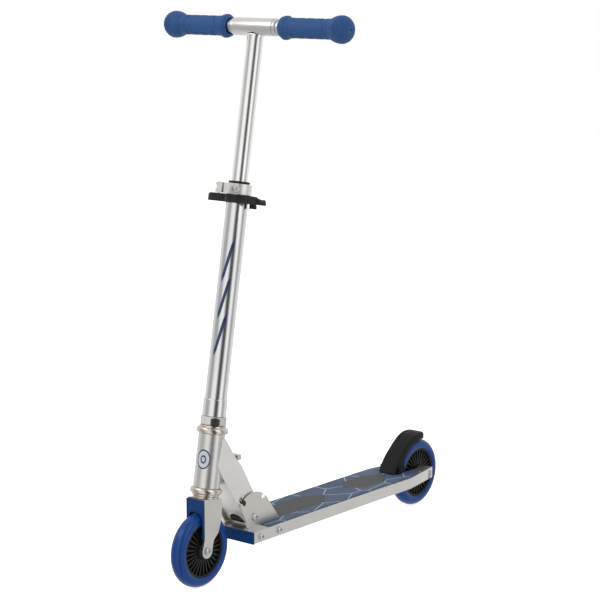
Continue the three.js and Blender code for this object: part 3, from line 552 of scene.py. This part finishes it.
def handle(side_name, mirror):
    """The handle tube with its stop shoulder, and the grip that covers it."""
    matrix = BAR @ (Matrix.Rotation(-math.pi / 2, 4, "Y") if mirror else TO_X)
    profile = [
        (9.2, 5), (11, 5), (11, 39.3), (13.2, 39.3), (13.2, 43.6), (12.2, 45),
        (11, 45), (11, 169.5), (9.2, 169.5),
    ]
    points = [(radius * MM, height * MM) for radius, height in profile]
    tube = turned(side_name + "_handle_drawn", points, matrix, 0.4 * MM)
    stands_for(tube, side_name + "_handle_tube", "brushed_tube", angle=30)
    stands_for(grip_mesh(side_name + "_grip_moulded", matrix), side_name + "_grip", angle=50)


# Stations of a grip in millimetres from the middle of the bar.
GRIP = {"start": 52, "flange": 57.5, "body": 69, "neck": 149, "ball": 167, "end": 184}
GRIP_RADIUS = 15.7
KNOB_RADIUS = 21.4


def smooth_step(low, high, value):
    t = min(1, max(0, (value - low) / (high - low)))
    return t * t * (3 - 2 * t)


def grip_radius(x, turn):
    """Radius of the grip in millimetres, at a distance from the middle and an angle round the bar."""
    if x < GRIP["body"]:
        rise = smooth_step(GRIP["start"] - 1, GRIP["flange"], x)
        fall = smooth_step(GRIP["flange"] + 5, GRIP["body"], x)
        scallop = 0.35 * math.cos(8 * turn) * (1 - fall)
        return 13.8 + 4.4 * rise - (18.2 - GRIP_RADIUS) * fall + scallop
    if x < GRIP["neck"]:
        # A long oval pad at the front and back; between them the rubber is notched into blocks.
        around = abs(turn % math.pi - math.pi / 2) / 0.95
        along = abs((x - 107) / 33)
        oval = (around**2.6 + along**2.6) ** 0.5
        outside = smooth_step(0.98, 1.12, oval)
        notch = max(math.exp(-(((x - centre) / 1.7) ** 2)) for centre in (80, 98, 116, 134))
        rim = math.exp(-(((oval - 1.03) / 0.06) ** 2))
        return GRIP_RADIUS + 0.3 * (1 - outside) - 1.8 * notch * outside - 0.95 * rim
    if x < GRIP["ball"]:
        share = (x - GRIP["neck"]) / (GRIP["ball"] - GRIP["neck"])
        return GRIP_RADIUS + (KNOB_RADIUS - GRIP_RADIUS) * math.sin(math.pi / 2 * share) ** 0.8
    dome = (x - GRIP["ball"]) / (GRIP["end"] + 1.2 - GRIP["ball"])
    return KNOB_RADIUS * math.sqrt(1 - dome**2)


def knob_ridge(x, turn):
    """Height of the ridges that ring the front and outer side of the end knob, in millimetres."""
    radius = grip_radius(x, turn)
    point = Vector((radius * math.cos(turn), radius * math.sin(turn), x - GRIP["ball"])).normalized()
    pole = Vector((0, -0.84, 0.54))
    reach = math.degrees(point.angle(pole))
    return 0.75 * math.sin(reach * 2 * math.pi / 11) * (1 - smooth_step(44, 50, reach))


def ring_of(bm, radius_at, x, sides=160):
    ring = []
    for index in range(sides):
        turn = 2 * math.pi * index / sides
        radius = radius_at(turn) * MM
        ring.append(bm.verts.new((radius * math.cos(turn), radius * math.sin(turn), x * MM)))
    return ring


def grip_mesh(name, matrix):
    bm = bmesh.new()
    rows = []
    count = 300
    for row in range(count + 1):
        x = GRIP["start"] + (GRIP["end"] - GRIP["start"]) * row / count
        ridged = x > GRIP["neck"] + 3

        def radius_at(turn):
            return grip_radius(x, turn) + (knob_ridge(x, turn) if ridged else 0)

        rows.append(ring_of(bm, radius_at, x))
    bore, vent, recess = 11.1, 1.6, 59
    inside = [(vent + 1, GRIP["end"] + 0.4), (vent, GRIP["end"]), (vent, 171), (bore, 170.2), (bore, recess)]
    inside += [(11.6, recess), (12.6, GRIP["start"] + 0.4)]
    for radius, x in inside:
        rows.append(ring_of(bm, lambda turn: radius, x))
    rows.append(rows[0])
    for low, high in zip(rows, rows[1:]):
        for index, corner in enumerate(low):
            after = (index + 1) % len(low)
            bm.faces.new((corner, low[after], high[after], high[index]))
    return make(name, bm, matrix)


handle("left", False)
handle("right", True)


# ---------- Neck and fork ----------
def neck():
    """The pressed box of the neck with a smooth head tube through it."""
    bm = bmesh.new()
    bm.from_mesh(frame["nodes"]["neck"].data)
    bmesh.ops.remove_doubles(bm, verts=bm.verts, dist=2e-6)
    inverse = STEERING.inverted()
    outer = HEAD_TUBE_RADIUS

    def on_tube(vertex):
        local = inverse @ vertex.co
        return math.hypot(local.x, local.y) < outer + 0.02 * MM

    tube_faces = [face for face in bm.faces if all(on_tube(vertex) for vertex in face.verts)]
    bmesh.ops.delete(bm, geom=tube_faces, context="FACES")
    bmesh.ops.dissolve_limit(bm, angle_limit=math.radians(1), verts=bm.verts, edges=bm.edges)
    box = make("neck_box", bm)
    bevelled(box, 0.7 * MM)
    stands_for(box, "neck", "bright_steel")
    low = span("upper_ball_ring", STEERING)[0].z - 4 * MM
    bottom = span("lower_ball_ring", STEERING)[1].z + 4 * MM
    profile = [(18.2 * MM, bottom), (outer, bottom), (outer, low), (18.2 * MM, low)]
    tube = turned("head_tube", profile, STEERING, 0.5 * MM)
    stands_for(tube, "neck", "brushed_tube")


def pivot_roller():
    """The black roller that fills the foot of the neck round the pivot."""
    low, high = span("pivot_sleeve")
    centre = (low + high) / 2
    profile = [(5.3 * MM, low.x), (13.2 * MM, low.x), (13.2 * MM, high.x), (5.3 * MM, high.x)]
    roller = turned("pivot_roller", profile, along_x(centre.y, centre.z), 1.2 * MM, 64)
    stands_for(roller, "pivot_sleeve", "black_plastic")


neck()
pivot_roller()
dressed("fork", 0.6 * MM)
dressed("fork_cover", 0.8 * MM)
dressed("release_knob", 0.5 * MM)
dressed("pin_carrier", 0.4 * MM)
dressed("bracket_plate_left", 0.4 * MM)
dressed("bracket_plate_right", 0.4 * MM)
dressed("deck", 0.7 * MM)
dressed("deck_front_cap", 0.8 * MM)
dressed("left_arm_cap", 0.5 * MM)
dressed("right_arm_cap", 0.5 * MM)
dressed("fender_bracket", 0.4 * MM, material="brake_black")
dressed("clamp_collar", 0.7 * MM, material="bright_steel")
dressed("clamp_nut", 0.6 * MM, material="brushed_tube")
dressed("clamp_skewer", 0.5 * MM, material="brushed_tube")
dressed("quick_release_lever", 0.5 * MM, material="bright_steel")
for node in ("front_axle_nut", "rear_axle_nut", "pivot_nut"):
    dressed(node, 0.5 * MM)


# ---------- Grip clip and fender ----------
CLIP_DROP = 13.3 * MM  # from the clamp collar down to just under the curved edge


def grip_clip():
    """The storage clip, whose top edge curves down to a point at each end."""
    low, high = span("grip_clip", STEERING)
    top, base = high.z, low.z
    bottom = span("clamp_collar", STEERING)[0].z - CLIP_DROP
    half, fall = high.x - 0.5 * MM, 15 * MM
    outline = [(-half, base), (half, base)]
    steps = 14
    right = []
    for step in range(steps + 1):
        t = math.pi / 2 * step / steps
        rise = (top - bottom - 1.5 * MM) * math.sin(t)
        right.append((half - fall + fall * math.cos(t), bottom + 1.5 * MM + rise))
    outline += right + [(-x, z) for x, z in reversed(right)]
    bm = bmesh.new()
    sides = [[bm.verts.new((x, y, z)) for x, z in outline] for y in (-60 * MM, 60 * MM)]
    bm.faces.new(sides[0])
    bm.faces.new(reversed(sides[1]))
    for index in range(len(outline)):
        after = (index + 1) % len(outline)
        bm.faces.new((sides[0][index], sides[0][after], sides[1][after], sides[1][index]))
    cutter = make("clip_outline", bm, STEERING)
    bm = bmesh.new()
    bm.from_mesh(frame["nodes"]["grip_clip"].data)
    clip = boolean(make("grip_clip_finished", bm), cutter, "INTERSECT")
    for side in (-1, 1):
        behind = bmesh.new()
        bmesh.ops.create_cube(behind, size=1)
        size = Matrix.Diagonal((50 * MM, 30 * MM, 60 * MM, 1))
        middle = Matrix.Translation((side * 57 * MM, 20 * MM, (top + base) / 2))
        clip = boolean(clip, make("prong_cutter", behind, STEERING @ middle @ size), "DIFFERENCE")
    bm = bmesh.new()
    bm.from_mesh(clip.data)
    bmesh.ops.remove_doubles(bm, verts=bm.verts, dist=2e-6)
    bmesh.ops.dissolve_limit(bm, angle_limit=math.radians(1), verts=bm.verts, edges=bm.edges)
    bm.to_mesh(clip.data)
    bm.free()
    stands_for(bevelled(clip, 0.9 * MM), "grip_clip")


grip_clip()


def smooth_curve(points, count):
    """Evenly stepped points of a smooth curve through the given ones."""
    ends = [points[0], *points, points[-1]]
    curve = []
    for step in range(count + 1):
        position = step / count * (len(points) - 1)
        index = min(int(position), len(points) - 2)
        t = position - index
        a, b, c, d = (Vector(point) for point in ends[index:index + 4])
        square = 2 * a - 5 * b + 4 * c - d
        cube = 3 * b - a - 3 * c + d
        curve.append(0.5 * (2 * b + (c - a) * t + square * t**2 + cube * t**3))
    return curve


def fender():
    """A foot-brake fender: a flat leaning front, ribs over its shoulder and a thick rounded tail."""
    half = span("brake_fender")[1].x
    wheel_low, wheel_high = span("rear_tyre")
    axle = (wheel_low + wheel_high) / 2
    count = 150
    back = [
        (206, 76), (222, 98), (241, 114), (256, 124.5), (268, 131), (280, 134.5),
        (292, 135), (302, 132.5), (307.3, 127), (306.6, 122.6),
    ]
    outer = smooth_curve([(y * MM, z * MM) for y, z in back], count)
    inner = [(237 * MM, 76.3 * MM), (236.8 * MM, 86 * MM)]
    for degrees in range(148, 75, -6):
        turn = math.radians(degrees)
        inner.append((axle.y + 63 * MM * math.cos(turn), axle.z + 63 * MM * math.sin(turn)))
    inner = smooth_curve(inner, count)

    def width(y):
        beyond = max(0.0, y - axle.y)
        return math.sqrt(max(0.0, half**2 - beyond**2))

    bm = bmesh.new()
    rows = []
    for station in range(count + 1):
        share = station / count
        start, end = outer[station], inner[station]
        depth = (end - start).length
        corner = min(3.2 * MM + 2.5 * MM * smooth_step(0.5, 0.7, share), depth * 0.5)
        wall = min(4.5 * MM, depth * 0.8)
        loop = [(1, depth), (1, corner)]
        for step in range(1, 7):
            t = math.pi / 2 * step / 6
            loop.append((1 - corner / half * (1 - math.cos(t)), corner * (1 - math.sin(t))))
        ribbed = smooth_step(0.3, 0.34, share) * (1 - smooth_step(0.47, 0.5, share))
        rib = ribbed * 0.35 * MM * (1 + math.sin(station * 2 * math.pi / 5.0))
        step_line = 0.7 * MM * math.exp(-(((share - 0.54) / 0.012) ** 2))
        for fraction in (0.72, 0.7, 0.35):
            loop.append((fraction, (rib if fraction < 0.72 else 0) + step_line))
        loop += [(-fraction, inset) for fraction, inset in reversed(loop)]
        skirt = 1 - 3.5 * MM / half
        loop += [(-skirt, depth), (-skirt, wall), (skirt, wall), (skirt, depth)]
        ring = []
        for fraction, inset in loop:
            point = start + (end - start) * (inset / max(depth, 1e-6))
            ring.append(bm.verts.new((fraction * width(point.x), point.x, point.y)))
        rows.append(ring)
    for first, second in zip(rows, rows[1:]):
        for index in range(len(first)):
            after = (index + 1) % len(first)
            bm.faces.new((first[index], first[after], second[after], second[index]))
    for ring in (rows[0], rows[-1]):
        bm.faces.new(ring)
    bmesh.ops.triangulate(bm, faces=[face for face in bm.faces if len(face.verts) > 4])
    stands_for(make("brake_fender_moulded", bm), "brake_fender", "brake_black", 38)


fender()


# ---------- Fasteners ----------
AXLE_RADIUS = 3.9 * MM
SHANK_RADIUS = {"pivot_bolt": 5 * MM, "bracket_bolt_front": 4 * MM, "bracket_bolt_rear": 4 * MM}


def bolt(node, socket=2.6 * MM):
    """A button-head bolt with a hexagon socket, on a CAD bolt that lies along X."""
    low, high = span(node)
    centre = (low + high) / 2
    radius = (high.z - low.z) / 2
    two_heads = node.startswith("bracket_bolt")
    shank = SHANK_RADIUS.get(node, AXLE_RADIUS)
    thickness = 4 * MM if node == "pivot_bolt" else 3.2 * MM
    under = high.x - thickness
    head = [
        (shank, under), (radius - 0.3 * MM, under), (radius, under + 0.8 * MM),
        (radius * 0.93, under + thickness * 0.5), (radius * 0.78, under + thickness * 0.8),
        (radius * 0.55, high.x - 0.15 * MM), (radius * 0.5, high.x), (0, high.x),
    ]
    if two_heads:
        profile = [(0, -high.x)] + [(r, -x) for r, x in reversed(head[:-1])] + head
    else:
        profile = [(0, low.x), (shank, low.x)] + head
    piece = turned(node + "_turned", profile, along_x(centre.y, centre.z), sides=48)
    for flip in (False, True) if two_heads else (False,):
        base, mouth = high.x - 1.5 * MM, high.x + MM
        recess = turned_mesh([(0, base), (socket, base), (socket, mouth), (0, mouth)], 6)
        piece = boolean(piece, make("socket", recess, along_x(centre.y, centre.z, flip)), "DIFFERENCE")
    stands_for(piece, node, angle=35)


for node in ("front_axle", "rear_axle", "pivot_bolt", "bracket_bolt_front", "bracket_bolt_rear"):
    bolt(node)


def plain(node, material=None):
    """A small or hidden CAD node keeps its shape and takes its finish, or near-black steel as painted shade.
    """
    shown = frame["nodes"][node]
    shown.data.materials.clear()
    shown.data.materials.append(MATERIALS[material or slot_of_node[node]])


# Painted shade: the lock pin, fender pin and spring take near-black steel, standing in for the shade they sit
# in.
DARKENED_FOR_SHADE = ("lock_pin", "fender_pin", "fender_spring")
for node, shown in frame["nodes"].items():
    if not shown.hide_render:
        plain(node, "dark_steel" if node in DARKENED_FOR_SHADE else None)


# ---------- Graphics ----------
def wrapped_bar(name, turn, height, length, width, slant, lift, radius, body, slot, material):
    """A thin printed bar that follows a tube, at an angle and height, with its length along the tube."""
    bm = bmesh.new()
    along_steps, around_steps = 24, 8
    rows = []
    for step in range(along_steps + 1):
        t = step / along_steps - 0.5
        taper = min(1.0, (0.5 - abs(t)) * 7 + 0.15)
        row = []
        for across in range(around_steps + 1):
            u = (across / around_steps - 0.5) * taper
            angle = turn + (slant * t + u * width) / radius
            reach = radius + lift
            row.append(bm.verts.new((reach * math.sin(angle), -reach * math.cos(angle), height + length * t)))
        rows.append(row)
    for low, high in zip(rows, rows[1:]):
        for index in range(around_steps):
            bm.faces.new((low[index], low[index + 1], high[index + 1], high[index]))
    piece = make(name, bm, STEERING)
    thick = piece.modifiers.new("thickness", "SOLIDIFY")
    thick.thickness = lift
    thick.offset = -0.9
    return place(piece, body, slot, material=material, angle=60)


def stem_graphic():
    low, high = span("lower_stem_tube", STEERING)
    radius = high.x
    middle = low.z + (high.z - low.z) * 0.51
    pitch = 58 * MM
    for index in range(3):
        height = middle + (index - 1) * pitch
        wrapped_bar(
            f"stem_stripe_{index + 1}", math.radians(24), height, 66 * MM, 5 * MM, 14 * MM,
            0.12 * MM, radius, "steering", "polished_aluminium", "graphic_navy",
        )


stem_graphic()


def badge():
    """A plain pale disc with a navy rim, wrapped round the head tube."""
    turn, height, radius, tube = math.radians(14), 144 * MM, 11.5 * MM, HEAD_TUBE_RADIUS
    for name, outer, inner, lift, material in (
        ("badge_disc", radius, 0, 0.15 * MM, "graphic_white"),
        ("badge_rim", radius, radius * 0.86, 0.3 * MM, "graphic_navy"),
        ("badge_dot", radius * 0.42, radius * 0.26, 0.3 * MM, "graphic_navy"),
    ):
        bm = bmesh.new()
        rings = []
        rows = 10
        for row in range(rows + 1):
            reach = inner + (outer - inner) * row / rows
            ring = []
            for index in range(64):
                around = 2 * math.pi * index / 64
                angle = turn + reach * math.cos(around) / tube
                up = height + 1.35 * reach * math.sin(around)
                out = tube + lift
                ring.append(bm.verts.new((out * math.sin(angle), -out * math.cos(angle), up)))
            rings.append(ring)
        for low, high in zip(rings, rings[1:]):
            for index in range(64):
                after = (index + 1) % 64
                bm.faces.new((low[index], low[after], high[after], high[index]))
        piece = make(name, bm, STEERING)
        thick = piece.modifiers.new("thickness", "SOLIDIFY")
        thick.thickness = lift
        thick.offset = -0.9
        place(piece, "neck", "satin_steel", material=material, angle=60)


badge()
wrapped_bar(
    "lock_tab", math.radians(48), 203 * MM, 13.5 * MM, 14 * MM, 0, 0.8 * MM, 21.3 * MM,
    "steering", "satin_aluminium", "dark_steel",
)

# ---------- Stage ----------
scene = bpy.context.scene


def light(name, place_at, target, size, power):
    data = bpy.data.lights.new(name, "AREA")
    data.shape = "RECTANGLE"
    data.size, data.size_y = size
    data.energy = power
    lamp = bpy.data.objects.new(name, data)
    lamp.location = place_at
    lamp.rotation_euler = (Vector(target) - Vector(place_at)).to_track_quat("-Z", "Y").to_euler()
    scene.collection.objects.link(lamp)


def studio():
    """A pale world with a few darker walls for the metal to mirror."""
    world = bpy.data.worlds.new("studio")
    scene.world = world
    world.use_nodes = True
    tree = world.node_tree
    add = tree.nodes.new
    split = add("ShaderNodeSeparateXYZ")
    tree.links.new(add("ShaderNodeTexCoord").outputs["Generated"], split.inputs[0])
    turn = add("ShaderNodeMath")
    turn.operation = "ARCTAN2"
    tree.links.new(split.outputs["Y"], turn.inputs[0])
    tree.links.new(split.outputs["X"], turn.inputs[1])
    share = add("ShaderNodeMapRange")
    share.inputs["From Min"].default_value = -math.pi
    share.inputs["From Max"].default_value = math.pi
    tree.links.new(turn.outputs[0], share.inputs["Value"])
    ramp = add("ShaderNodeValToRGB")
    stops = [(-180, 0.8), (-160, 0.75), (-140, 0.45), (-112, 0.45), (-98, 0.9), (-66, 1.0), (-56, 0.5)]
    stops += [(-47, 0.10), (-28, 0.09), (-18, 0.45), (-9, 1.0), (10, 1.0), (22, 0.45), (36, 0.4), (50, 0.72)]
    stops += [(80, 0.85), (180, 0.8)]
    elements = ramp.color_ramp.elements
    while len(elements) < len(stops):
        elements.new(0.5)
    for element, (angle, grey) in zip(elements, stops):
        element.position = (angle + 180) / 360
        element.color = (grey, grey, grey, 1)
    tree.links.new(share.outputs["Result"], ramp.inputs["Fac"])
    studio_light = tree.nodes["Background"]
    studio_light.inputs["Strength"].default_value = 1.0
    tree.links.new(ramp.outputs["Color"], studio_light.inputs["Color"])
    backdrop = add("ShaderNodeBackground")
    backdrop.inputs["Color"].default_value = (1, 1, 1, 1)
    seen = add("ShaderNodeLightPath")
    either = add("ShaderNodeMixShader")
    tree.links.new(seen.outputs["Is Camera Ray"], either.inputs["Fac"])
    tree.links.new(studio_light.outputs[0], either.inputs[1])
    tree.links.new(backdrop.outputs[0], either.inputs[2])
    tree.links.new(either.outputs[0], tree.nodes["World Output"].inputs["Surface"])


FLOOR_DROP = 0.2 * MM  # keeps the floor clear of the tyres
FLOOR_GLOW = 0.75


def floor():
    """A plain pale floor, bright enough to run into the backdrop without a horizon."""
    bm = bmesh.new()
    bmesh.ops.create_grid(bm, x_segments=1, y_segments=1, size=4)
    ground = make("floor", bm, Matrix.Translation((0, 0, -FLOOR_DROP)))
    n = Nodes("floor")
    n.shader.inputs["Specular IOR Level"].default_value = 0.0
    tone = n.mix(n.between(n.noise((3, 3, 3)), 0, 1), (0.86, 0.86, 0.86), (0.9, 0.9, 0.9))
    n.link(tone, n.shader.inputs["Base Color"])
    n.shader.inputs["Roughness"].default_value = 0.9
    n.shader.inputs["Emission Color"].default_value = (1, 1, 1, 1)
    n.shader.inputs["Emission Strength"].default_value = FLOOR_GLOW
    ground.data.materials.append(n.material)
    ground.visible_glossy = False
    ground.visible_diffuse = False


def camera():
    data = bpy.data.cameras.new("camera")
    data.sensor_width = 36
    data.lens = 114.34  # with the place and target below, solved from the photo
    eye = bpy.data.objects.new("camera", data)
    eye.location = (1.9099, -2.4298, 0.9866)
    target = Vector((-0.0183, -0.0146, 0.4152))
    eye.rotation_euler = (target - eye.location).to_track_quat("-Z", "Y").to_euler()
    scene.collection.objects.link(eye)
    scene.camera = eye


light("key", (-1.2, -2.2, 2.6), (0, 0, 0.4), (2.2, 1.6), 22)
light("fill", (2.6, -0.4, 1.8), (0, 0, 0.3), (1.8, 1.8), 8)
studio()
floor()
camera()
scene.view_settings.view_transform = "Standard"
